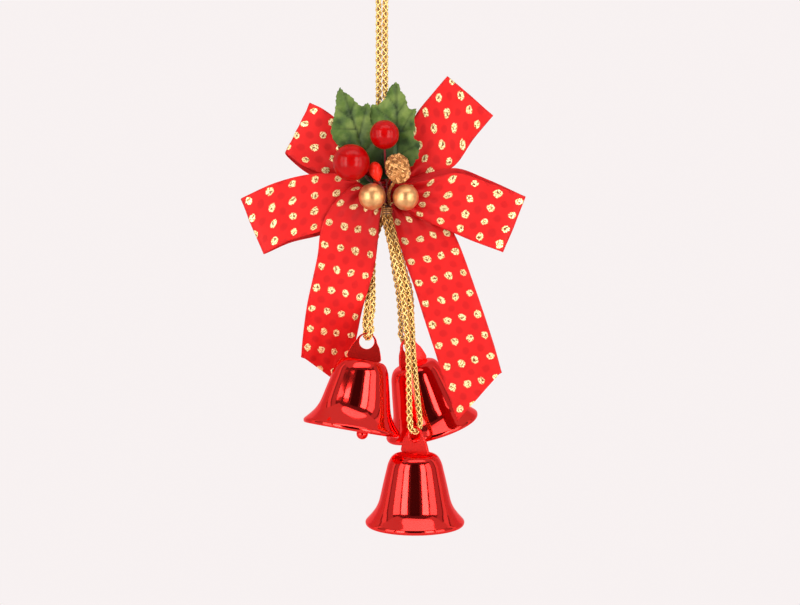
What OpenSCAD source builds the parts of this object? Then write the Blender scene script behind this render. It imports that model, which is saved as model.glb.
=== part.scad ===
/* [Ribbon] */
// Width of the ribbon, mm
ribbon_w = 25; // [15:1:40]
// Thickness of the ribbon, mm
ribbon_t = 0.6; // [0.4:0.1:1.5]
// Length of the upper left loop, mm
upper_left_len = 46; // [30:1:70]
// Length of the upper right loop, mm
upper_right_len = 54; // [30:1:70]
// Length of the lower left loop, mm
lower_left_len = 60; // [30:1:80]
// Length of the lower right loop, mm
lower_right_len = 58; // [30:1:80]

/* [Cords] */
// Diameter of the gold cord, mm
cord_d = 2.8; // [1.5:0.1:4]

/* [Berries and leaves] */
// Diameter of the large berry, mm
large_berry_d = 15; // [8:0.5:20]
// Diameter of the medium berry, mm
medium_berry_d = 12; // [6:0.5:18]
// Diameter of the gold balls, mm
gold_ball_d = 11.1; // [6:0.2:18]
// Thickness of a leaf, mm
leaf_t = 0.6; // [0.4:0.1:1.5]
// Diameter of the wire stems, mm
stem_d = 0.8; // [0.5:0.1:1.5]

/* [Bells] */
// Wall thickness of a bell, mm
bell_wall = 0.7; // [0.5:0.1:1.2]
// Radius of the hole in a bell's tab, mm
tab_hole_r = 3.1; // [2:0.1:4]
// Thickness of a bell's tab, mm
tab_t = 1; // [0.6:0.1:2]
// Diameter of the clapper ball, mm
clapper_d = 4.8; // [3:0.1:7]
// Distance from the clapper's pin to the ball's centre, mm
clapper_len = 27.5; // [20:0.5:30]

/* [Node] */
// Which sub-part to draw, or "all"

/* [Hidden] */
eps = 0.01;
bend_extra = 0.06;
cord_sides = 8;
sphere_fn = 72;
rod_fn = 24;

red = [0.80, 0.05, 0.05];
berry_red = [0.62, 0.03, 0.04];
bell_red = [0.72, 0.02, 0.04];
gold = [0.83, 0.62, 0.28];
glitter_gold = [0.80, 0.52, 0.24];
leaf_green = [0.16, 0.30, 0.10];
wire_brown = [0.45, 0.28, 0.12];
stem_dark = [0.16, 0.07, 0.05];

// The knot where stems, ribbons and cords are tied
knot_x = 2.1;
knot_z = -100;
pinch_z = -92;

// Depth layers at the pinch, negative towards the front
lower_bow_y = -2.65;
tail_y = 0.4;
upper_bow_y = 2.6;
bundle_y = -6.2;
bundle_r = 1.65;
bundle_top_z = -97.5;
bundle_bottom_z = -101.4;
cord_knot_y = 6.1;
loose_end_z = -102.6;

// Bell size, measured from the tab hole's centre down the bell's axis
hole_to_top = 6.9;
hole_up = 0.8;
bight_up = 2.35;
bell_h = 29.6;
pin_r = 0.5;
pin_below_top = 3.1;
pin_clearance = 0.05;
shank_r = 1.4;

// Each bell: tab hole centre, tilt about Y, lean about X, turn of the tab, sideways slope of the bight
left_bell = [[-6.4, -7, -155], 9.7, -4, 0, -0.36];
right_bell = [[11.4, 10, -157.6], -16.5, 9.5, 33, 0];
front_bell = [[13.7, -16, -193.1], 0, 5, -40, 0];

// Bell wall, radius and height below the top, outside then inside
bell_outer = [
    [7.6, 0], [8.6, -0.3], [9.4, -0.9], [10.2, -2], [11.15, -4.2], [11.85, -7], [12.7, -10.5],
    [13.5, -14], [14.2, -17.2], [14.95, -20], [16.15, -22.6], [17.8, -24.9], [19.2, -26.5],
    [20.1, -27.5], [20.4, -28.2], [20.2, -29], [19.6, -29.5],
];
bell_inner = [
    [19, -29.3], [18.9, -28.6], [18.9, -27.8], [18.3, -26.8], [17.1, -25.4], [15.45, -23.1],
    [14.25, -20.4], [13.5, -17.4], [12.8, -14.2], [12, -10.6], [11.15, -7], [10.5, -4.5],
    [9.7, -2.6], [9, -1.7], [8.3, -1.1], [7.2, -0.7],
];

// Route of each cord, hand-placed points
hanging_route = [
    [0.6, 6.1, -97.7], [0.4, 6.1, -88], [-0.4, 5.6, -80], [-1.2, 4, -70], [-1.45, 1.5, -50],
    [-1.45, 0, -14], [-2, 0, -9], [-3.1, 0, -5], [-3.4, 0, -2.1], [-2.95, 0, -0.45], [-1.7, 0, 0.76],
    [0, 0, 1.2], [1.7, 0, 0.76], [2.95, 0, -0.45], [3.4, 0, -2.1], [3.1, 0, -5], [2, 0, -9],
    [1.45, 0, -14], [1.45, 1.5, -50], [1.75, 4, -70], [2.5, 5.6, -80], [3.4, 6.1, -88], [3.6, 6.1, -97.7],
];
// The bight through a tab's hole, [along the tab's normal, height over the hole's centre]
bight = [
    [-3.2, 6.2], [-3, 4.6], [-2.3, 3.3], [-1.25, 2.55], [0, bight_up],
    [1.25, 2.55], [2.3, 3.3], [3, 4.6], [3.2, 6.2],
];
left_top_front = [
    [0.1, 4.5, loose_end_z], [-1.6, 4.4, -110], [-2.8, 3.8, -118], [-3.4, 2.6, -126], [-3.7, -0.2, -134],
    [-3.85, -1.9, -137],
];
left_top_back = [
    [0.1, 7.5, loose_end_z], [-2.8, 7, -110], [-4.6, 6.2, -118], [-5.5, 4.8, -126], [-5.9, 2, -134],
    [-6, 0.5, -137.2],
];
left_down = [[-3.9, -2.5, -137.9], [-4, -4.6, -141.5], [-4.8, -8.4, -146.8]];
left_up = [[-7, -3.1, -146.8], [-6.4, -1.5, -141.5], [-6.05, 0, -138.1]];
right_down = [
    [4.6, 4.4, loose_end_z], [7, 4.8, -113], [9.4, 5.4, -124], [11.8, 6.2, -133], [12.4, 7, -142],
    [11.9, 7.4, -148],
];
right_up = [
    [8, 12, -148], [7.7, 10.8, -142], [6.8, 9, -133], [5.2, 7.8, -124], [3.9, 7.2, -113],
    [3.3, 7.5, loose_end_z],
];
front_down = [
    [0.6, bundle_y, loose_end_z], [3.2, -8.2, -112], [6.2, -9.9, -124], [8.4, -11.2, -133],
    [9.9, -12.8, -145], [10.9, -14.4, -158], [11.2, -15.9, -170], [11.4, -17.9, -183],
];
front_up = [
    [15.3, -13.8, -183], [14, -12.7, -170], [12.9, -11.6, -158], [12.3, -10.4, -145], [10.6, -9.2, -133],
    [8.5, -8, -124], [5.6, -6.8, -112], [3.6, bundle_y, loose_end_z],
];

// Leaf outlines in the front view, [x, height]
leaf_left_outline = [
    [-17.2, -48.7], [-16, -50.6], [-14.1, -51.6], [-12.5, -52.8], [-10.6, -54.9], [-9.1, -56.2],
    [-7.9, -56.5], [-6.6, -55.5], [-5.6, -55.3], [-4.8, -56.6], [-4.5, -58.4], [-5, -60.9], [-4.4, -63.4],
    [-2.5, -68], [0.2, -71], [0.6, -75], [-0.4, -80.5], [-3, -83.4], [-7, -82], [-11, -79], [-16, -75],
    [-18.9, -72.2], [-21.2, -66.8], [-20.4, -63.8], [-19.7, -60.9], [-19, -55.1], [-18.5, -50.6],
];
leaf_right_outline = [
    [6, -46.3], [7.3, -47.9], [7.6, -50], [9.4, -51.7], [10.3, -54.2], [11.6, -57.6], [14.4, -57.5],
    [14.2, -59.4], [13.4, -61.2], [13.9, -65.4], [13.2, -67.9], [13.5, -70], [16, -71.3], [15.7, -73.7],
    [15.2, -78.3], [13.9, -78.7], [13.1, -81.2], [9, -81.6], [5, -81], [-1, -82], [-3, -77], [-3.5, -73],
    [-3.6, -68], [-5.6, -62], [-5.4, -57.6], [-3.7, -55.6], [-1.7, -56], [0, -54.8], [1.5, -53.3],
    [1.9, -51.3], [2.9, -49.2], [4.2, -47.5],
];
leaf_small_outline = [
    [-10.6, -85.2], [-7, -84.4], [-3.4, -86.2], [-3.8, -89.6], [-7.4, -89.4], [-10.4, -88.2],
];

// Tail outlines in the front view, [x, height]
left_tail_outline = [
    [0.6, -88], [-3, -88], [-13, -95], [-25.4, -108.4], [-29.6, -135], [-34.2, -160.4],
    [-21.4, -170.6], [-12.4, -177], [-13.2, -163], [-10.9, -151], [-9.3, -141.4], [-6.8, -133.8],
    [-3.3, -124.4], [-0.9, -113.9], [0.6, -103],
];
right_tail_outline = [
    [3.2, -88], [7, -88], [19, -95], [31.2, -110.4], [37.6, -130.6], [43.6, -148.2], [49.4, -165.2],
    [38, -178.4], [31.2, -187.4], [22.4, -159.4], [13.8, -132.6], [10.2, -122.2], [5.4, -108], [3.2, -100],
];
// Tail depths in the side view, [height, y]
left_tail_side = [
    [-87, tail_y], [-98, tail_y], [-112, 0.2], [-119, -1.8], [-127, -2.9], [-134, -2.3], [-141, 0.4],
    [-150, 5.6], [-160, 11], [-170, 14.4], [-178, 16],
];
right_tail_side = [
    [-87, tail_y], [-98, tail_y], [-112, 0.3], [-120, -2.2], [-130, -4.8], [-142, -6], [-158, -6.2],
    [-174, -5.8], [-188, -5.4],
];

// Berry centres
large_berry_at = [-12.4, -15, -80.6];
medium_berry_at = [1.2, -13.8, -69];
berry_bud_at = [-2.6, -10.8, -83.9];
glitter_bud_at = [6.7, -12.8, -83];
gold_ball_left_at = [-3.9, -12.7, -94.4];
gold_ball_right_at = [9.9, -12.5, -94.7];

function unit(v) = v / norm(v);
function tangent(p, i) = unit(p[min(i + 1, len(p) - 1)] - p[max(i - 1, 0)]);
function ring(p, i, side) =
    let (t = tangent(p, i), a = unit(cross(t, side)), b = cross(t, a))
    [for (k = [0:cord_sides - 1]) p[i] + cord_d / 2 * (cos(k * 360 / cord_sides) * a + sin(k * 360 / cord_sides) * b)];
function tab_side(b) = [cos(b[3]), sin(b[3]), 0];
function turn_z(v, a) = [v[0] * cos(a) - v[1] * sin(a), v[0] * sin(a) + v[1] * cos(a), v[2]];
function turn_x(v, a) = [v[0], v[1] * cos(a) - v[2] * sin(a), v[1] * sin(a) + v[2] * cos(a)];
function turn_y(v, a) = [v[0] * cos(a) + v[2] * sin(a), v[1], -v[0] * sin(a) + v[2] * cos(a)];
function in_bell(b, v) = b[0] + turn_y(turn_x(turn_z(v, b[3]), b[2]), b[1]);
function bight_route(b) = [for (q = bight) in_bell(b, [b[4] * q[0], q[0], q[1]])];
// Halfway points of a smooth curve through the given ones
function smooth(p) = [
    for (i = [0:len(p) - 2])
    let (a = p[max(i - 1, 0)], d = p[min(i + 2, len(p) - 1)])
    each [p[i], (9 * (p[i] + p[i + 1]) - a - d) / 16],
    p[len(p) - 1],
];
function strip(side, t) = concat(
    [for (q = side) [q[1] - t / 2, q[0]]],
    [for (i = [len(side) - 1:-1:0]) [side[i][1] + t / 2, side[i][0]]]
);
// How far a clapper turns from the bell's axis to hang plumb
function plumb_turn(b) = atan2(
    cos(b[1]) * sin(b[2]) * sin(b[3]) - sin(b[1]) * cos(b[3]), cos(b[1]) * cos(b[2])
);

module cord(points_on_route, side) {
    route = smooth(points_on_route);
    n = len(route);
    points = [for (i = [0:n - 1]) each ring(route, i, side)];
    walls = [
        for (i = [0:n - 2], k = [0:cord_sides - 1])
        let (a = i * cord_sides, m = (k + 1) % cord_sides)
        [a + k, a + m, a + m + cord_sides, a + k + cord_sides]
    ];
    first = [for (k = [cord_sides - 1:-1:0]) k];
    last = [for (k = [0:cord_sides - 1]) (n - 1) * cord_sides + k];
    color(gold)
    polyhedron(points = points, faces = concat(walls, [first], [last]), convexity = 8);
}

module rod(a, b, r) {
    d = b - a;
    translate(a)
    rotate([0, acos(d[2] / norm(d)), atan2(d[1], d[0])])
    cylinder(r = r, h = norm(d), $fn = rod_fn);
}

// A bent wire, with a slightly fuller ball at each bend
module stem(points, r = stem_d / 2) {
    for (p = points) {
        translate(p)
        sphere(r = r + bend_extra, $fn = rod_fn);
    }
    for (i = [0:len(points) - 2]) {
        rod(points[i], points[i + 1], r);
    }
}

// A closed ribbon loop that runs out along X from the pinch
module ribbon_loop(length, depth, drop = 0) {
    steps = 20;
    outer = [
        for (i = [0:steps]) [length * i / steps, 0.9 + depth * pow(sin(180 * min(i / steps, 0.999)), 0.75)],
        for (i = [steps:-1:0]) [length * i / steps, -0.9 - depth * pow(sin(180 * min(i / steps, 0.999)), 0.75)],
    ];
    inner_len = length - 2 * ribbon_t;
    inner = [
        for (i = [2:steps]) [ribbon_t + inner_len * i / steps,
            0.9 - ribbon_t + (depth - 0.1) * pow(sin(180 * min(i / steps, 0.999)), 0.75)],
        for (i = [steps:-1:2]) [ribbon_t + inner_len * i / steps,
            -0.9 + ribbon_t - (depth - 0.1) * pow(sin(180 * min(i / steps, 0.999)), 0.75)],
    ];
    outline = [
        [0, -4], [4, -4.6], [12, -8.4], [22, -ribbon_w / 2 - drop], [length + 1, -ribbon_w / 2 - drop],
        [length + 1, ribbon_w / 2 - drop], [22, ribbon_w / 2 - drop], [12, 8.4], [4, 4.6], [0, 4],
    ];
    intersection() {
        translate([0, 0, -ribbon_w])
        linear_extrude(height = 2 * ribbon_w)
        difference() {
            polygon(outer);
            polygon(inner);
        }
        rotate([90, 0, 0])
        translate([0, 0, -20])
        linear_extrude(height = 40)
        polygon(outline);
    }
}

module ribbon_tail(outline, side) {
    color(red)
    intersection() {
        translate([0, 40, 0])
        rotate([90, 0, 0])
        linear_extrude(height = 80)
        polygon(outline);
        translate([-60, 0, 0])
        rotate([90, 0, 90])
        linear_extrude(height = 120)
        polygon(strip(side, ribbon_t));
    }
}

module leaf(outline, y, veins) {
    color(leaf_green)
    union() {
        translate([0, y + leaf_t / 2, 0])
        rotate([90, 0, 0])
        linear_extrude(height = leaf_t)
        polygon(outline);
        for (v = veins) {
            rod([v[0][0], y - leaf_t / 2, v[0][1]], [v[1][0], y - leaf_t / 2, v[1][1]], 0.25);
        }
    }
}

module at_bell(b) {
    translate(b[0])
    rotate([0, b[1], 0])
    rotate([b[2], 0, 0])
    rotate([0, 0, b[3]])
    children();
}

module at_clapper(b) {
    at_bell(b)
    translate([0, 0, -hole_to_top - pin_below_top])
    rotate([0, plumb_turn(b), 0])
    children();
}

module bell_shell(b) {
    color(bell_red)
    at_bell(b)
    translate([0, 0, -hole_to_top])
    difference() {
        rotate_extrude($fn = 128)
        polygon(concat([[0, 0]], bell_outer, bell_inner, [[0, -bell_wall]]));
        translate([0, 0, -2 * bell_wall])
        cylinder(r = shank_r, h = 3 * bell_wall, $fn = 48);
    }
}

module bell_tab(b) {
    arm = 4.4;
    half_base = 7.3;
    leg_y = 1.7;
    pin_z = -hole_to_top - pin_below_top;
    shank_bottom = -hole_to_top - bell_wall - 0.3;
    color(bell_red)
    at_bell(b) {
        translate([0, tab_t / 2, 0])
        rotate([90, 0, 0])
        linear_extrude(height = tab_t)
        difference() {
            union() {
                circle(r = arm, $fn = 72);
                polygon([
                    [-arm + 0.35, 1.8], [-half_base + 0.5, -5.2], [-half_base, -6.2], [-half_base + 0.8, -hole_to_top],
                    [half_base - 0.8, -hole_to_top], [half_base, -6.2], [half_base - 0.5, -5.2], [arm - 0.35, 1.8],
                ]);
            }
            translate([0, hole_up])
            circle(r = tab_hole_r, $fn = 72);
        }
        translate([0, 0, shank_bottom])
        cylinder(r = shank_r - 0.02, h = -hole_to_top - shank_bottom + eps, $fn = 48);
        translate([0, -leg_y, shank_bottom - 0.1])
        translate([-0.45, -0.5, 0])
        cube([0.9, 2 * leg_y + 1, 0.4]);
        for (s = [-1, 1]) {
            translate([0, s * leg_y, pin_z - pin_r])
            cylinder(r = 0.45, h = shank_bottom - pin_z + pin_r + 0.1, $fn = rod_fn);
        }
        translate([0, leg_y, pin_z])
        rotate([90, 0, 0])
        cylinder(r = pin_r, h = 2 * leg_y, $fn = 48);
    }
}

module clapper_wire(b) {
    eye_r = 1.45;
    color(bell_red)
    at_clapper(b)
    difference() {
        union() {
            translate([0, 0.45, 0])
            rotate([90, 0, 0])
            cylinder(r = eye_r, h = 0.9, $fn = 48);
            translate([0, 0, -clapper_len])
            cylinder(r = 0.4, h = clapper_len - 1, $fn = rod_fn);
        }
        translate([0, 1, 0])
        rotate([90, 0, 0])
        cylinder(r = pin_r + pin_clearance, h = 2, $fn = 48);
    }
}

module clapper_ball(b) {
    color(bell_red)
    at_clapper(b)
    translate([0, 0, -clapper_len])
    difference() {
        sphere(d = clapper_d, $fn = sphere_fn);
        cylinder(r = 0.4, h = clapper_d, $fn = rod_fn);
    }
}

module hanging_cord() {
    cord(hanging_route, [0, 1, 0]);
}

// The two strands behind the left tail, which rest against it
module left_bell_cord_top() {
    cord(left_top_front, tab_side(left_bell));
    cord(left_top_back, tab_side(left_bell));
}

module left_bell_cord() {
    cord(concat(left_down, bight_route(left_bell), left_up), tab_side(left_bell));
}

module right_bell_cord() {
    cord(concat(right_down, bight_route(right_bell), right_up), tab_side(right_bell));
}

module front_bell_cord() {
    cord(concat(front_down, bight_route(front_bell), front_up), tab_side(front_bell));
}

// The cords' ends, bound together behind the bow
module cord_knot() {
    color(gold)
    translate([knot_x, cord_knot_y, 0]) {
        translate([0, 0, -101.8])
        cylinder(r = 2.7, h = 3.9, $fn = 64);
        for (z = [-101.1, -99.9, -98.7]) {
            translate([0, 0, z])
            rotate_extrude($fn = 64)
            translate([2.6, 0])
            circle(r = 0.65, $fn = 24);
        }
    }
}

module upper_bow_ribbon() {
    color(red) {
        translate([knot_x - 3, upper_bow_y, pinch_z])
        rotate([0, -148, 0])
        ribbon_loop(upper_left_len, 1.5);
        translate([knot_x + 1, upper_bow_y, pinch_z])
        rotate([0, -49, 0])
        ribbon_loop(upper_right_len, 1);
        translate([knot_x - 5, upper_bow_y - 0.9, pinch_z - 3.6])
        cube([8, 1.8, 7.2]);
    }
}

module lower_bow_ribbon() {
    color(red) {
        translate([knot_x - 2, lower_bow_y, pinch_z])
        rotate([0, -194, 0])
        ribbon_loop(lower_left_len, 1.6);
        translate([knot_x + 1, lower_bow_y, pinch_z])
        rotate([0, 14, 0])
        ribbon_loop(lower_right_len, 1);
        translate([knot_x - 5, lower_bow_y - 0.9, pinch_z - 3.6])
        cube([8, 1.8, 7.2]);
    }
}

module tail_ribbon() {
    ribbon_tail(left_tail_outline, left_tail_side);
    ribbon_tail(right_tail_outline, right_tail_side);
    color(red)
    translate([knot_x - 3, tail_y - ribbon_t / 2, -96])
    cube([6, ribbon_t, 8]);
}

// Thin wire round the gathered ribbons
module bow_tie_wire() {
    r = 0.35;
    x = knot_x - 0.2;
    front = lower_bow_y - 0.9 - r - 0.25;
    back = upper_bow_y + 0.9 + r + 0.3;
    top = pinch_z + 9.6;
    bottom = pinch_z - 5.4;
    color(wire_brown)
    stem([[x, front, top], [x, front, bottom], [x, back, bottom], [x, back, top], [x, front, top]], r);
}

module binding_wire() {
    color(wire_brown)
    translate([knot_x, bundle_y, 0]) {
        for (z = [-101, -100.1, -99.2, -98.3]) {
            translate([0, 0, z])
            rotate_extrude($fn = 64)
            translate([bundle_r + 0.45, 0])
            circle(r = 0.42, $fn = 24);
        }
        translate([bundle_r + 0.45, 0, -101])
        cylinder(r = 0.3, h = 2.7, $fn = rod_fn);
    }
}

module stem_bundle() {
    color(stem_dark)
    translate([knot_x, bundle_y, bundle_bottom_z])
    cylinder(r = bundle_r, h = bundle_top_z - bundle_bottom_z, $fn = 48);
}

// Where a wire that comes from a point ends, touching a ball
function on_ball(at, d, from) = at + unit(from - at) * (d / 2 + stem_d / 2 + bend_extra);

// Where a stem leaves the bundle, at an angle round it
function stem_foot(a) = [knot_x + 1.15 * cos(a), bundle_y + 1.15 * sin(a), bundle_top_z + stem_d / 2 + bend_extra];

module holly_leaf_left() {
    leaf(leaf_left_outline, -7, [
        [[-6, -76], [-15.6, -52]], [[-8.6, -70], [-6.2, -59]], [[-9.6, -67.4], [-18.6, -66.6]],
    ]);
}

module holly_leaf_right() {
    leaf(leaf_right_outline, -6.2, [
        [[5.6, -78], [6.2, -50]], [[5.8, -70], [12.4, -60]], [[5.7, -74], [13.2, -72.4]],
    ]);
}

module holly_leaf_small() {
    leaf(leaf_small_outline, -5.4, [[[-4.4, -87.4], [-9.4, -86.6]]]);
}

module leaf_stem_left() {
    color(stem_dark)
    stem([stem_foot(135), [0, -5.2, -92], [-3.4, -5.2, -82.6], [-7.4, -6.1, -74.6]]);
}

module leaf_stem_right() {
    color(stem_dark)
    stem([stem_foot(45), [4.2, -5.2, -86], [5.2, -5.4, -75]]);
}

module large_berry() {
    color(berry_red)
    translate(large_berry_at)
    sphere(d = large_berry_d, $fn = sphere_fn);
}

module medium_berry() {
    color(berry_red)
    translate(medium_berry_at)
    sphere(d = medium_berry_d, $fn = sphere_fn);
}

module berry_bud() {
    color(red)
    translate(berry_bud_at)
    rotate([0, -14, 0])
    rotate_extrude($fn = 64)
    polygon([[0, 4], [1.3, 3.6], [2.3, 2.4], [2.75, 0.8], [2.6, -0.8], [1.9, -2.4], [1, -3.6], [0.5, -4.2], [0, -4.2]]);
}

module glitter_bud() {
    color(glitter_gold)
    translate(glitter_bud_at)
    rotate([0, -14, 0])
    rotate_extrude($fn = 64)
    polygon([
        [0, 6.2], [2, 5.8], [3.8, 4.4], [4.8, 2.2], [5, 0], [4.6, -2.2], [3.4, -4.4], [1.8, -5.8], [0, -6.2],
    ]);
}

module gold_ball(at) {
    color(gold)
    translate(at)
    sphere(d = gold_ball_d, $fn = sphere_fn);
}

module gold_ball_left() {
    gold_ball(gold_ball_left_at);
}

module gold_ball_right() {
    gold_ball(gold_ball_right_at);
}

module large_berry_stem() {
    bend = [-6, -7.6, -86.6];
    color(stem_dark)
    stem([stem_foot(180), [-2.2, -6.3, -90.6], bend, on_ball(large_berry_at, large_berry_d, bend)]);
}

module medium_berry_stem() {
    bend = [1.3, -7.8, -80];
    color(stem_dark)
    stem([stem_foot(90), [1.9, -5.2, -88], bend, on_ball(medium_berry_at, medium_berry_d, bend)]);
}

module berry_bud_stem() {
    color(stem_dark)
    stem([stem_foot(225), [1.2, -8.4, -92.4], [-1.1, -10.8, -88.6]]);
}

module glitter_bud_stem() {
    color(glitter_gold)
    stem([stem_foot(0), [3, -9.2, -92.2], [4.9, -12.6, -89.8]]);
}

module gold_ball_left_stem() {
    color(stem_dark)
    rod(stem_foot(270), on_ball(gold_ball_left_at, gold_ball_d, stem_foot(270)), stem_d / 2);
}

module gold_ball_right_stem() {
    color(stem_dark)
    rod(stem_foot(315), on_ball(gold_ball_right_at, gold_ball_d, stem_foot(315)), stem_d / 2);
}

module left_bell_shell() {
    bell_shell(left_bell);
}

module left_bell_tab() {
    bell_tab(left_bell);
}

module left_clapper_wire() {
    clapper_wire(left_bell);
}

module left_clapper_ball() {
    clapper_ball(left_bell);
}

module right_bell_shell() {
    bell_shell(right_bell);
}

module right_bell_tab() {
    bell_tab(right_bell);
}

module right_clapper_wire() {
    clapper_wire(right_bell);
}

module right_clapper_ball() {
    clapper_ball(right_bell);
}

module front_bell_shell() {
    bell_shell(front_bell);
}

module front_bell_tab() {
    bell_tab(front_bell);
}

module front_clapper_wire() {
    clapper_wire(front_bell);
}

module front_clapper_ball() {
    clapper_ball(front_bell);
}

hanging_cord();
cord_knot();
upper_bow_ribbon();
lower_bow_ribbon();
tail_ribbon();
bow_tie_wire();
binding_wire();
stem_bundle();
holly_leaf_left();
holly_leaf_right();
holly_leaf_small();
leaf_stem_left();
leaf_stem_right();
large_berry();
medium_berry();
berry_bud();
glitter_bud();
gold_ball_left();
gold_ball_right();
large_berry_stem();
medium_berry_stem();
berry_bud_stem();
glitter_bud_stem();
gold_ball_left_stem();
gold_ball_right_stem();
left_bell_cord_top();
left_bell_cord();
left_bell_shell();
left_bell_tab();
left_clapper_wire();
left_clapper_ball();
right_bell_cord();
right_bell_shell();
right_bell_tab();
right_clapper_wire();
right_clapper_ball();
front_bell_cord();
front_bell_shell();
front_bell_tab();
front_clapper_wire();
front_clapper_ball();
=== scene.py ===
import math

import bmesh
import bpy
from mathutils import Matrix, Vector, noise


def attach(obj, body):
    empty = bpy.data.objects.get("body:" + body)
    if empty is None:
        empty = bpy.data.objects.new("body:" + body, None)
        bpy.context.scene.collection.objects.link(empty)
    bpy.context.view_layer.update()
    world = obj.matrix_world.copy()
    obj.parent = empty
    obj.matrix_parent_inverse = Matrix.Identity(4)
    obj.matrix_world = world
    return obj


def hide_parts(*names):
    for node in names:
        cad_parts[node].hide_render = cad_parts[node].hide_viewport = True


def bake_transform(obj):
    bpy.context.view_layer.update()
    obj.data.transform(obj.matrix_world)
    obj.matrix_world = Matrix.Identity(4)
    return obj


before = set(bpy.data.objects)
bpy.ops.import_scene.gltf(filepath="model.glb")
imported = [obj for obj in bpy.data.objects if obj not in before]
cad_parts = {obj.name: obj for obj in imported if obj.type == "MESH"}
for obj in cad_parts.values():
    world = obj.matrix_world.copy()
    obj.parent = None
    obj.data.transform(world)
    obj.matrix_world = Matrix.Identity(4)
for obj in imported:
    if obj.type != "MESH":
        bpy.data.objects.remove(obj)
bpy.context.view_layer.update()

MM = 0.001
ROOT = "wreath_and_bow"


# ---- helpers


def catmull_rom(a, b, c, d, t):
    """A point on the smooth curve from b to c, which has a before it and d after it."""
    return 0.5 * (
        2 * b
        + (c - a) * t
        + (2 * a - 5 * b + 4 * c - d) * t**2
        + (3 * b - a - 3 * c + d) * t**3
    )


def extended(points):
    """The points, with one more in line beyond each end."""
    return [2 * points[0] - points[1]] + points + [2 * points[-1] - points[-2]]


def spline(points, step):
    """Points along a smooth curve through the given ones, about step apart."""
    pts = extended([Vector(p) for p in points])
    out = []
    for i in range(1, len(pts) - 2):
        a, b, c, d = pts[i - 1 : i + 3]
        n = max(1, round((c - b).length / step))
        out += [catmull_rom(a, b, c, d, k / n) for k in range(n)]
    return out + [pts[-2]]


def path_length(path):
    return sum((b - a).length for a, b in zip(path, path[1:]))


def frames(path, side):
    """Two directions square to a path at each of its points, with no twist between them."""
    n = len(path)
    a = Vector(side)
    out = []
    for i in range(n):
        along = (path[min(i + 1, n - 1)] - path[max(i - 1, 0)]).normalized()
        a = (a - along * a.dot(along)).normalized()
        out.append((a, along.cross(a)))
    return out


def grid_faces(rows, columns, closed=False, base=0):
    """Quads between rows of vertices. A closed row runs round to its own start."""
    faces = []
    for i in range(rows - 1):
        for j in range(columns if closed else columns - 1):
            a = base + i * columns + j
            b = base + i * columns + (j + 1) % columns
            faces.append((a, b, b + columns, a + columns))
    return faces


def add_tube(verts, faces, path, radius, sides, side=(0, 1, 0)):
    """A round tube with flat ends along a path, added to a vertex and a face list."""
    base = len(verts)
    end = base + (len(path) - 1) * sides
    for p, (a, b) in zip(path, frames(path, side)):
        for k in range(sides):
            w = 2 * math.pi * k / sides
            verts.append(p + radius * (math.cos(w) * a + math.sin(w) * b))
    faces += grid_faces(len(path), sides, closed=True, base=base)
    faces.append(tuple(base + k for k in reversed(range(sides))))
    faces.append(tuple(end + k for k in range(sides)))


def add_mesh(verts, faces, more_verts, more_faces):
    """Another mesh, added to a vertex and a face list."""
    base = len(verts)
    verts += more_verts
    faces += [tuple(i + base for i in f) for f in more_faces]


def add_object(name, data):
    obj = bpy.data.objects.new(name, data)
    bpy.context.scene.collection.objects.link(obj)
    return obj


def piece(name, verts, faces, materials, body, nodes, smooth=True, place=None):
    """A mesh object from vertices in millimetres, riding on a body unless that is None."""
    mesh = bpy.data.meshes.new(name)
    where = place or (lambda v: v)
    mesh.from_pydata([where(Vector(v)) * MM for v in verts], [], faces)
    mesh.validate()
    for m in materials if isinstance(materials, list) else [materials]:
        mesh.materials.append(m)
    for f in mesh.polygons:
        f.use_smooth = smooth
    obj = add_object(name, mesh)
    if body:
        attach(obj, body)
    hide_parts(*nodes)
    return obj


def thicken(obj, thickness):
    """Gives a sheet its thickness in millimetres, half on each side."""
    solid = obj.modifiers.new("thickness", "SOLIDIFY")
    solid.thickness = thickness * MM
    solid.offset = 0
    return solid


# ---- materials


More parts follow.
